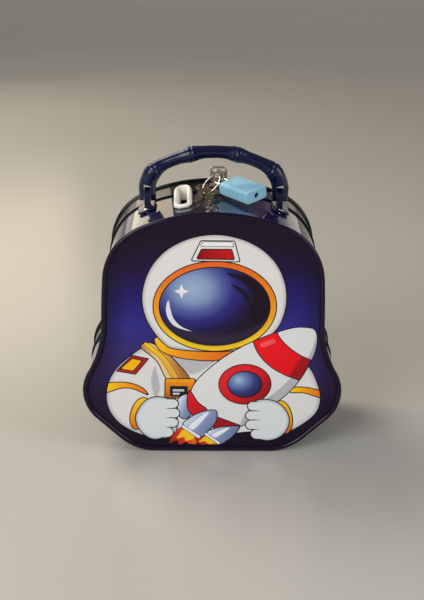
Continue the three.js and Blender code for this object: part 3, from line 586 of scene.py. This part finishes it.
def stored(layers, total):
    """Every number that the finish reads, one array per name, with the rolled rim far outside every shape."""
    def padded(values, rest):
        return np.concatenate([values, np.full(total - len(values), rest)])
    values = {"height": padded(face_points[:, 1] / 166.0, 0.12)}
    edge = np.repeat(np.linspace(0, 1, face_count // AROUND), AROUND)
    values["from_rim"] = padded(np.clip((1 - edge) * 4.5, 0, 1), 0.0)
    for one in layers:
        values[one["name"]] = padded(one["distance"], 99.0)
        if isinstance(one["colour"], tuple):
            values[one["name"] + "_run"] = padded(one["colour"][1], 0.0)
        if "fade" in one:
            values[one["name"] + "_fade"] = padded(1 - one["fade"], 0.0)
    return values


front_skin = skin(front_rings)
make_piece("front_panel_printed", front_skin, "front_part", ["front_panel"], printed_tin(layers),
           stored(layers, len(front_skin[0])), angle=50)

# %% [markdown]
# ## The side wall
# The wall is one strip, bent round the outline. It carries a looser print: a night sky with violet and rose clouds,
# fine stars and thin looping lines. The loops are the level lines of a slow noise, which never cross or end.


# %% Band finishes
def galaxy_tin():
    f = Finish("lithographed tinplate, night sky", Coat_Weight=BAND_GLOSS, **TIN)
    base = f.ramp(f.noise(60, detail=3), [(0.35, "#090718"), (0.5, "#131238"), (0.68, "#1d1446")])
    blue = f.ramp(f.noise(22, detail=6, roughness=0.6), [(0.55, 0.0), (0.8, 1.0)])
    base = f.mix(f.math("MULTIPLY", blue, 0.6), base, "#3558ad")
    rose = f.ramp(f.noise(30, detail=6, roughness=0.62, where=f.place(offset=(0.31, 0.1, 0.2))),
                  [(0.55, 0.0), (0.78, 1.0)])
    base = f.mix(f.math("MULTIPLY", rose, 0.6), base, "#7d3467")
    cells = f.add("ShaderNodeTexVoronoi", {"feature": "F1"}, Vector=f.place(), Scale=230.0)
    chance = f.add("ShaderNodeSeparateColor", i0=cells.outputs["Color"]).outputs[0]
    size = f.math("MULTIPLY", f.math("POWER", chance, 4.0), 0.075)
    base = f.mix(f.math("LESS_THAN", cells.outputs["Distance"], size), base, "#a9b6e2")
    level = f.noise(17, detail=0.6, where=f.place(offset=(0.7, 0.2, 0.5)))
    line = f.math("ABSOLUTE", f.math("SUBTRACT", level, 0.56))
    near = f.math("MULTIPLY_ADD", line, -160.0, 1.0, clamp=True)
    shown = f.ramp(f.noise(26, detail=1, where=f.place(offset=(0.1, 0.9, 0.3))), [(0.44, 0.0), (0.52, 1.0)])
    f.colour(f.mix(f.math("MULTIPLY", f.math("MULTIPLY", near, shown), 0.8), base, "#5f8fd0"))
    sheet_waves(f, 30, 0.05)
    return f.material


def black_tin():
    f = Finish("enamelled tinplate, black", Coat_Weight=0.45, **TIN)
    tone = f.noise(45, detail=3)
    f.colour(f.ramp(tone, [(0.3, "#050509"), (0.7, "#0b0b12")]))
    f.rough(f.ramp(f.noise(8, detail=5), [(0.3, 0.26), (0.75, 0.38)]))
    sheet_waves(f, 30, 0.05)
    return f.material


galaxy, black = galaxy_tin(), black_tin()

# %% [markdown]
# A band is a sheet 0.6 mm thick. Its outside and its inside are the same grid at two insets. Cells that fall in a hole
# are left out, and every bare edge of the sheet gets a thin wall, so the sheet is closed all round.


# %% Band surface
SHEET = 0.6


def band_skin(levels, insets, hole, count=560):
    """Outer grid (y level by outline point), inner grid one sheet further in, without the cells that hole(x, y, z)
    picks; wherever only one of two neighbouring cells is kept, a quad joins the two grids."""
    rows = len(levels)
    outer = outline_rings(list(zip(insets, levels)), count)
    inner = outline_rings([(insets[-1] + SHEET, y) for y in levels], count)
    middle = (outer[:-1] + outer[1:] + np.roll(outer, -1, 1)[:-1] + np.roll(outer, -1, 1)[1:]) / 4 / MM
    kept = ~hole(*np.moveaxis(middle, 2, 0))
    o = np.arange(rows * count).reshape(rows, count)
    i, o_next = o + rows * count, np.roll(o, -1, axis=1)
    quads = np.stack([o[:-1], o_next[:-1], o_next[1:], o[1:]], axis=2)[kept]
    blocks = [quads, quads[:, ::-1] + rows * count]
    none = np.zeros((1, count), bool)
    before, after = np.vstack([none, kept]), np.vstack([kept, none])
    ends = lambda a, b, mask: np.stack([a, b, b + rows * count, a + rows * count], axis=-1)[mask]
    blocks += [ends(o_next, o, after & ~before), ends(o, o_next, before & ~after)]
    left = np.roll(kept, 1, axis=1)
    blocks += [ends(o[:-1], o[1:], kept & ~left), ends(o[1:], o[:-1], left & ~kept)]
    return outward(np.concatenate([outer.reshape(-1, 3), inner.reshape(-1, 3)]), blocks)


SLOT_X, SLOT_Y = -19.8, -5.0
SEAM = 12.5
front_levels = np.concatenate([np.linspace(-39.0, 12.0, 40), [12.2, 12.35]])
front_hole = lambda x, y, z: (((abs(x - SLOT_X) < 4.2) & (abs(y - SLOT_Y) < 15.2) & (z > 100))
                              | ((abs(x) < 22.5) & (y > SEAM - 2) & (z < 10)))
make_piece("front_band_wall", band_skin(front_levels, np.full(42, 2.0), front_hole), "front_part", ["front_band"],
           galaxy, angle=35)

lip = np.linspace(0, 1, 9)
cover_levels = np.concatenate([SEAM + 0.15 + 1.5 * lip, np.linspace(SEAM + 2.2, 39.0, 26)])
cover_insets = np.concatenate([1.6 - 0.7 * np.sin(np.pi * np.clip(lip * 0.75 + 0.25, 0, 1)), np.full(26, 1.6)])
cover_hole = lambda x, y, z: (abs(x) < 22.5) & (y < SEAM + 2) & (z < 10)
make_piece("cover_band_wall", band_skin(cover_levels, cover_insets, cover_hole), "rear_cover", ["cover_band"],
           black, angle=35)
back_rings, _ = panel_points(1, rows=24)
make_piece("back_panel_sheet", skin(back_rings), "rear_cover", ["back_panel"], black, angle=50)

# %% [markdown]
# ## The grip
# The handle is moulded plastic shaped like a bent bamboo cane. Four knots stand out as rings, each with a fine groove,
# and the cane is a little thinner between them. The path is a smooth curve through the knots, and the radius is a sum
# of bell curves of the distance to the nearest knot. At each foot the cane splits into a fork that straddles its lug.

# %% Handle
PIVOT_X, PIVOT_Z = 43.5, 168.6
CANE_R = 5.6  # radius of the two legs
KNOTS = np.array([(-38.2, 185), (-15, 195.1), (15, 195.1), (38.2, 185)])


def cane_path(count=420):
    """Cubic spans through the given points; each point's slope is the weighted mean of the slopes beside it, with the
    square root of the chord as the parameter."""
    points = np.array([(-PIVOT_X, PIVOT_Z), (-43.4, 175), *KNOTS[:2], (0, 196.9), *KNOTS[2:], (43.4, 175),
                       (PIVOT_X, PIVOT_Z)])
    step = np.sqrt(np.linalg.norm(np.diff(points, axis=0), axis=1))
    slope = np.diff(points, axis=0) / step[:, None]
    inner = (slope[:-1] * step[1:, None] + slope[1:] * step[:-1, None]) / (step[:-1] + step[1:])[:, None]
    tangent = np.vstack([slope[:1], inner, slope[-1:]])
    at = np.linspace(0, len(step) - 1e-9, count)
    k = at.astype(int)
    t, h = (at - k)[:, None], step[k][:, None]
    p0, p1, m0, m1 = points[k], points[k + 1], tangent[k] * h, tangent[k + 1] * h
    from_start = (2 * t**3 - 3 * t**2 + 1) * p0 + (t**3 - 2 * t**2 + t) * m0
    return from_start + (3 * t**2 - 2 * t**3) * p1 + (t**3 - t**2) * m1


def bell(x, width):
    return np.exp(-((x / width) ** 2))


cane = cane_path()
whole_cane = cane[cane[:, 0] > 30][::-1]
cane = cane[cane[:, 1] > 175.2]
offset = cane[:, None] - KNOTS
nearest = np.linalg.norm(offset, axis=2)
knot = nearest.argmin(axis=1)
near = nearest.min(axis=1)
side = np.sign(offset[np.arange(len(cane)), knot, 0]) * np.sign(KNOTS[knot, 0])
leg = np.clip((np.abs(cane[:, 0]) - 36) / 7.5, 0, 1)
leg = leg * leg * (3 - 2 * leg)
cane_radius = (4.1 + 1.4 * leg + 1.2 * bell(near, 4.8) - 0.45 * bell(near + 0.9 * side, 0.5)
               - 0.16 * bell(near - 2.2 * side, 0.45))
path3 = np.stack([cane[:, 0], np.zeros(len(cane)), cane[:, 1]], axis=1)
grip = skin(sweep(path3, cane_radius, (0, 1, 0), sides=44) * MM)


def fork_tine(side, out, rows=26, sides=22):
    """Half of the cane beyond the slot: a chord-cut circle, drawn down and rounded in under the pin."""
    above = 8
    down = np.linspace(0, np.pi / 2 - 0.02, rows - above)
    z = np.concatenate([np.linspace(176.5, PIVOT_Z + 0.5, above), PIVOT_Z - 4.66 * np.sin(down)])
    narrow = np.concatenate([np.ones(above), np.cos(down)]) * (1 - 0.09 * np.clip((175 - z) / 6.4, 0, 1))
    middle = np.interp(z, whole_cane[:, 1], whole_cane[:, 0])
    slot = 2.35 + out * (PIVOT_X - middle)
    r = np.full(rows, CANE_R)
    swing = np.arccos(slot / r)
    a = swing[:, None] * np.linspace(-1, 1, sides)
    flat = (r * np.sin(swing))[:, None] * np.linspace(1, -1, 10)[1:-1]
    x = np.hstack([r[:, None] * np.cos(a), np.repeat(slot[:, None], 8, axis=1)])
    y = narrow[:, None] * np.hstack([r[:, None] * np.sin(a), flat])
    rings = np.stack([side * (middle[:, None] + out * x), y, np.broadcast_to(z[:, None], x.shape)], axis=2)
    return skin(rings * MM)


def navy_plastic():
    """Injection-moulded ABS, dyed through: a soft gloss with a very fine spark-eroded texture and faint flow marks."""
    f = Finish("ABS, navy", Roughness=0.25, IOR=1.54, Specular_IOR_Level=0.32)
    f.colour(f.ramp(f.noise(14, detail=3), [(0.3, "#060a2c"), (0.7, "#0b113a")]))
    f.rough(f.ramp(f.noise(6, detail=4), [(0.3, 0.17), (0.75, 0.28)]))
    f.bump(f.noise(0.35, detail=2), 0.02, 0.35)
    return f.material


navy = navy_plastic()
tines = [fork_tine(s, out) for s in (-1, 1) for out in (-1, 1)]
make_piece("handle_cane", together(grip, *tines), "carry_handle", ["handle"], navy, angle=50)
print("cane radius", cane_radius.min().round(2), "to", cane_radius.max().round(2), "mm")

# %% [markdown]
# ## The coin slot
# A moulded collar snaps into the roof. Its section is one loop: up the inside of the slot, over the broad rounded
# land, down the outside and back under the flange. The loop is carried round a rounded rectangle, and its height is
# stretched from a low front to a high back, so that a coin dropped in slides down the far wall.


# %% Slot trim
def on_roof(x, y, inset):
    """The frame on the roof at x: on a circle of radius R - inset about the crown's centre, tilted square to it."""
    r = ARCS[0][0] - inset
    tilt = math.asin(x / r)
    z = TOP - ARCS[0][0] + math.sqrt(r * r - x * x)
    return Matrix.Translation((x, y, z)) @ Matrix.Rotation(tilt, 4, "Y")


def loop_of(section, per_corner=10):
    """Rings of rounded rectangles, one per (half width, half length, corner, height)."""
    rings = [np.column_stack([rounded(a, b, r, per_corner), np.full(4 * per_corner, h)]) for a, b, r, h in section]
    return np.array(rings)


def white_plastic():
    """Injection-moulded polypropylene, natural white, slightly warm, with a soft sheen."""
    f = Finish("polypropylene, white", Roughness=0.38, IOR=1.5, Subsurface_Weight=0.12, Subsurface_Scale=0.002)
    f.colour(f.ramp(f.noise(11, detail=3), [(0.3, "#e6e1d5"), (0.7, "#f2eee3")]))
    f.rough(f.ramp(f.noise(3, detail=3), [(0.3, 0.32), (0.75, 0.45)]))
    f.bump(f.noise(0.5, detail=2), 0.01, 0.4)
    return f.material


white = white_plastic()
slot_section = [(2.4, 13.5, 0.5, -2.8), (2.4, 13.5, 0.6, 0.4), (2.6, 13.7, 1.2, 1.8), (2.95, 14.05, 2.2, 2.9),
                (3.35, 14.4, 2.9, 3.5), (3.8, 14.75, 3.4, 3.78), (4.4, 15.15, 4.0, 3.82), (5.0, 15.6, 4.6, 3.65),
                (5.6, 16.05, 5.1, 3.15), (5.95, 16.35, 5.5, 2.5), (6.1, 16.5, 5.7, 1.7), (6.05, 16.45, 5.65, 0.9),
                (5.8, 16.2, 5.4, 0.5), (5.4, 15.8, 5.0, 0.45), (3.5, 14.6, 0.9, 0.45), (3.5, 14.6, 0.9, -2.8)]
FOOT, CROWN, FRONT_RISE, BACK_RISE, TRIM_LEAN, TRIM_LENGTH = 0.45, 3.82, 2.0, 6.8, 0.04, 33
collar = loop_of(slot_section)
share = collar[..., 1] / TRIM_LENGTH + 0.5
rise = np.maximum(collar[..., 2] - FOOT, 0) / (CROWN - FOOT) * (FRONT_RISE + (BACK_RISE - FRONT_RISE) * share)
collar[..., 0] += TRIM_LEAN * rise
collar[..., 2] = np.minimum(collar[..., 2], FOOT) + rise
trim_frame = on_roof(SLOT_X, SLOT_Y, 2.0)
trim_rings = placed(collar.reshape(-1, 3), trim_frame).reshape(collar.shape)
make_piece("coin_slot_collar", skin(trim_rings, closed=True), "front_part", ["coin_slot_trim"], white,
           angle=35)

# %% [markdown]
# ## The padlock
# A small brass-cored padlock wears a moulded sleeve. The sleeve is a loop of rounded rectangles along the lock's own
# axis: in at the neck, round the outside, over the rounded end, into the key window and back along the inside.

# %% Padlock sleeve and shackle
HASP_X, STAPLE_Y = 3.4, 7.5
LOCK_FRAME = (Matrix.Translation((HASP_X, STAPLE_Y, 173)) @ Matrix.Rotation(math.radians(41), 4, "Z")
              @ Matrix.Rotation(math.radians(3), 4, "X") @ Matrix.Rotation(math.radians(-8), 4, "Y"))
NECK, END = -5.4, -32.4
sleeve = [(7.9, 3.2, 1.5, NECK - 0.05), (8.1, 3.5, 1.6, NECK - 0.08), (8.55, 3.95, 1.8, NECK - 0.4),
          (8.86, 4.26, 2.0, NECK - 0.9), (8.96, 4.36, 2.2, NECK - 1.6), (8.96, 4.36, 2.2, END + 1.2),
          (8.92, 4.32, 2.15, END + 0.65), (8.78, 4.18, 2.0, END + 0.25),
          (8.5, 3.9, 1.75, END + 0.04), (8.2, 3.6, 1.5, END), (2.25, 2.25, 2.25, END), (2.0, 2.0, 2.0, END + 0.06),
          (1.9, 1.9, 1.9, END + 0.3), (1.9, 1.9, 1.9, END + 1.5), (7.7, 3.0, 1.5, END + 1.6),
          (7.8, 3.1, 1.6, NECK - 0.6)]
flat_loop = loop_of(sleeve, 12)
sleeve_rings = np.stack([flat_loop[..., 0] + 4, flat_loop[..., 2], flat_loop[..., 1]], axis=2)


def blue_sleeve():
    """Thermoplastic rubber: a satin surface with a fine grain and a faint sheen."""
    f = Finish("thermoplastic rubber, pale blue", Roughness=0.5, IOR=1.5, Sheen_Weight=0.15, Sheen_Roughness=0.4)
    f.colour(f.ramp(f.noise(9, detail=3), [(0.3, "#83b9cf"), (0.7, "#93c6d9")]))
    f.rough(f.ramp(f.noise(2.5, detail=4), [(0.3, 0.42), (0.75, 0.58)]))
    f.bump(f.noise(0.4, detail=3), 0.02, 0.4)
    return f.material


sleeve_points = placed(sleeve_rings.reshape(-1, 3), LOCK_FRAME).reshape(sleeve_rings.shape)
make_piece("padlock_sleeve", skin(sleeve_points, closed=True), "lock_case", ["padlock_jacket"], blue_sleeve(),
           angle=35)


def nickel_steel(name, tint_low, tint_high, rough_low, rough_high):
    """Nickel-plated steel: a bright metal whose gloss is broken by handling marks and fine polishing lines."""
    f = Finish(name, Metallic=1.0)
    f.colour(f.ramp(f.noise(5, detail=4), [(0.3, tint_low), (0.7, tint_high)]))
    lines = f.noise(0.5, detail=4, where=f.place(scale=(1, 6, 6)))
    wear = f.mix(0.35, f.ramp(f.noise(3, detail=5), [(0.3, rough_low), (0.75, rough_high)]),
                 f.ramp(lines, [(0.3, rough_low), (0.8, rough_high)]))
    f.rough(wear)
    f.bump(f.noise(0.8, detail=4), 0.015, 0.35)
    return f.material


nickel = nickel_steel("nickel-plated steel", "#c2beb4", "#d6d3ca", 0.14, 0.34)
# Painted reflection: the keys' colour is darker and browner than bright nickel. It stands for the dark handle and the
# warm surround that the keys mirror.
key_metal = nickel_steel("nickel silver, painted dark reflection", "#a3937a", "#cbbb9e", 0.16, 0.34)
bare = nickel_steel("tinplate, bare", "#a9abad", "#c0c2c3", 0.3, 0.5)
brass = nickel_steel("brass", "#b08c46", "#c9a65c", 0.25, 0.45)
# Painted shade: the plug is coloured dark blue so that the keyhole looks like the shaded inside of the blue sleeve.
blue_zinc = nickel_steel("zinc, painted keyhole shade", "#1b4d72", "#28628d", 0.3, 0.5)

bend = np.linspace(np.pi, 0, 40)
arch = np.stack([4 + 4 * np.cos(bend), 1.6 + 4 * np.sin(bend)], axis=1)
heel = [[0, -23.8], [0, -23.4], [0, -12], [0, -1]]
toe = [[8, -1], [8, -6], [8, -12.4], [8, -12.8]]
shackle_path = np.column_stack([np.vstack([heel, arch, toe]), np.zeros(48)])
shackle = skin(placed(sweep(shackle_path, 1.2, (0, 0, 1), sides=28).reshape(-1, 3), LOCK_FRAME).reshape(48, 28, 3))
make_piece("padlock_bow", shackle, "lock_shackle", ["padlock_shackle"], nickel)

# %% [markdown]
# ## The key ring
# A split ring is two turns of flattened wire side by side, so the wire's section is a round with a groove at its outer
# and inner edge, carried round a circle. It hangs in the eye of the staple and leans on the roof.

# %% Key ring
HEADING, LEAN = math.radians(21.7), math.radians(42)
ring_across = np.array([math.sin(HEADING), -math.cos(HEADING), 0])
ring_back = np.array([math.cos(HEADING), math.sin(HEADING), 0])
ring_up = np.array([0, 0, math.cos(LEAN)]) + ring_back * math.sin(LEAN)
RING_R = 8
ring_centre = np.array([HASP_X, STAPLE_Y, 179.5]) - RING_R * ring_up
round_it = np.linspace(0, 2 * np.pi, 120, endpoint=False)[:, None]
circle = ring_centre + RING_R * (ring_across * np.sin(round_it) - ring_up * np.cos(round_it))
wire = sweep(circle, 0.55, np.cross(ring_across, ring_up), sides=24, closed=True,
             section=lambda a: 1 - 0.2 * bell(np.abs(np.sin(a)) - 1, 0.12))
make_piece("split_ring", skin(wire * MM, closed=True), "ring", ["key_ring"], nickel)

# %% [markdown]
# ## Rivets
# Every fitting on the roof is held by small rivets: a domed head outside, a shank and a flattened tail inside. Each is
# a profile turned about its axis and set square to the roof.


# %% Rivets
def rivet(x, y, inset, under):
    """Profile of (radius, height) turned about the axis: tail, shank, under the head, and a dome."""
    dome = np.linspace(0.15, 1.5, 9)
    top = under + 0.12
    head = np.stack([1.72 * np.cos(dome - 0.15), top + 0.72 * np.sin(dome)], axis=1)
    profile = np.vstack([[0.05, -1.5], [1.35, -1.5], [1.5, -1.35], [1.5, -0.95], [0.9, -0.9], [0.9, top], [1.6, top],
                         head])
    turn = np.linspace(0, 2 * np.pi, 28, endpoint=False)
    rings = np.stack([profile[:, :1] * np.cos(turn), profile[:, :1] * np.sin(turn),
                      np.broadcast_to(profile[:, 1:], (len(profile), 28))], axis=2)
    return skin(placed(rings.reshape(-1, 3), on_roof(x, y, inset)).reshape(rings.shape))


for side, side_name in ((-1, "left"), (1, "right")):
    for end, end_name in ((-1, "front"), (1, "rear")):
        node = f"lug_rivet_{side_name}_{end_name}"
        make_piece(node + "_head", rivet(side * PIVOT_X, end * 7.3, 2.0, 1.9), "front_part", [node], nickel,
                   angle=50)
for n, dx in ((1, -6.2), (2, 6.2)):
    make_piece(f"staple_rivet_{n}_head", rivet(HASP_X + dx, STAPLE_Y, 2.0, 1.3), "front_part", [f"staple_rivet_{n}"], nickel,
               angle=50)
for n, dx in ((1, -3.6), (2, 3.6)):
    make_piece(f"bracket_rivet_{n}_head", rivet(HASP_X + dx, 25.6, 1.6, 1.1), "rear_cover", [f"bracket_rivet_{n}"],
               nickel, angle=50)

# %% [markdown]
# ## Pieces kept from the solid model
# The stamped and moulded fittings already have their true shape. Each keeps its mesh and gets a real finish. Loose
# triangles are welded, the sharp edges are broken by a small bevel, as tumbling and moulding leave them, and the shading
# is smooth across it.

# %% Kept pieces
KEPT = {
    bare: (["locating_collar", "hinge_leaf_front", "hinge_leaf_cover", "hinge_pin"], 0.1),
    nickel: (["hasp_staple", "hasp_flap", "flap_bracket", "flap_pin", "handle_pin_left", "handle_pin_right"], 0.16),
    key_metal: (["key_1", "key_2"], 0.16),
    navy: (["handle_lug_left", "handle_lug_right", "side_keeper"], 0.3),
    white: (["coin_slot_clip"], 0.2),
    brass: (["padlock_core"], 0.15),
    blue_zinc: (["padlock_plug"], 0.15),
}
for finish, (nodes, width) in KEPT.items():
    for node in nodes:
        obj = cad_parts[node]
        obj.data.attributes.remove(obj.data.attributes["custom_normal"])
        obj.data.polygons.foreach_set("use_smooth", np.ones(len(obj.data.polygons), bool))
        for place in obj.material_slots:
            place.material = finish
        weld = obj.modifiers.new("weld", "WELD")
        weld.merge_threshold = 2e-6
        bevel = obj.modifiers.new("broken edges", "BEVEL")
        bevel.width, bevel.segments, bevel.limit_method = width * MM, 2, "ANGLE"
        bevel.angle_limit, bevel.harden_normals = math.radians(35), True
    print(finish.name, "on", len(nodes), "pieces")

# %% [markdown]
# ## Stage
# A pale satin floor, a soft warm surround and four large soft lights: one high behind on the left, as from a
# window, one broad from the front left, a weaker one from the right, and a low one far behind on the left, which the
# roof mirrors. The surround is pale near the horizon and dark above, so that the roof shows a dark middle.


# %% Floor
floor_finish = Finish("floor, pale satin", Roughness=0.26, IOR=1.45)
floor_finish.colour(floor_finish.ramp(floor_finish.noise(400, detail=2), [(0.3, "#b4b0a6"), (0.7, "#bab6ac")]))
floor_mesh = bpy.data.meshes.new("floor")
corners = [(-3, -3, 0), (3, -3, 0), (3, 3, 0), (-3, 3, 0)]
floor_mesh.from_pydata(corners, [], [(0, 1, 2, 3)])
floor_mesh.materials.append(floor_finish.material)
floor = bpy.data.objects.new("floor", floor_mesh)
bpy.context.scene.collection.objects.link(floor)

# %% Surround and lights
world = bpy.data.worlds.new("surround")
bpy.context.scene.world = world
world.use_nodes = True
tree = world.node_tree
direction = tree.nodes.new("ShaderNodeTexCoord")
split = tree.nodes.new("ShaderNodeSeparateXYZ")
tones = tree.nodes.new("ShaderNodeValToRGB")
tree.links.new(direction.outputs["Generated"], split.inputs[0])
tree.links.new(split.outputs["Z"], tones.inputs[0])
tree.links.new(tones.outputs[0], tree.nodes["Background"].inputs["Color"])
for height in (0.09, 0.21):
    tones.color_ramp.elements.new(height)
for element, tone in zip(tones.color_ramp.elements, ("#ddd6c9", "#d3cbbd", "#3a3836", "#7a7672")):
    element.color = linear(tone)
tree.nodes["Background"].inputs["Strength"].default_value = 1.25
bpy.context.scene.view_settings.view_transform = "Standard"


def soft_light(name, place, aim, size, power, hex_colour):
    """An area light, width by height, that faces a point; the camera doesn't see the light itself."""
    data = bpy.data.lights.new(name, "AREA")
    data.shape = "RECTANGLE"
    data.size, data.size_y, data.energy, data.color = *size, power, linear(hex_colour)[:3]
    light = bpy.data.objects.new(name, data)
    light.visible_camera = False
    light.location = place
    light.rotation_euler = (Vector(aim) - Vector(place)).to_track_quat("-Z", "Y").to_euler()
    bpy.context.scene.collection.objects.link(light)


soft_light("window", (-0.7, 0.55, 1.0), (0, 0, 0.12), (0.7, 0.7), 12, "#fff6ea")
soft_light("front_left", (-0.9, -1.1, 0.8), (0, 0, 0.1), (0.9, 0.9), 18, "#f6faff")
soft_light("right", (1.1, -0.5, 0.7), (0, 0, 0.1), (0.8, 0.8), 8, "#eef3ff")
soft_light("low_left_behind", (-0.52, 1.2, 0.42), (0, 0, 0.16), (0.62, 0.4), 1.3, "#ffeccc")

# %% [markdown]
# ## Camera
# The camera stands 0.7 m in front and a little above, looking down at about 21 degrees with a very slight roll.

# %% Camera
YAW, TILT, ROLL = (math.radians(a) for a in (0.8, 21.3, 0.64))
forward = Vector((math.sin(YAW) * math.cos(TILT), math.cos(YAW) * math.cos(TILT), -math.sin(TILT)))
level_right = Vector((math.cos(YAW), -math.sin(YAW), 0))
level_up = level_right.cross(forward)
right = level_right * math.cos(ROLL) + level_up * math.sin(ROLL)
up = level_up * math.cos(ROLL) - level_right * math.sin(ROLL)
camera_data = bpy.data.cameras.new("camera")
camera_data.lens, camera_data.sensor_width = 66.48, 36
camera = bpy.data.objects.new("camera", camera_data)
turn = Matrix((right, up, -forward)).transposed()
camera.matrix_world = Matrix.Translation(Vector((-10.15, -704.7, 368.4)) * MM) @ turn.to_4x4()
bpy.context.scene.collection.objects.link(camera)
bpy.context.scene.camera = camera
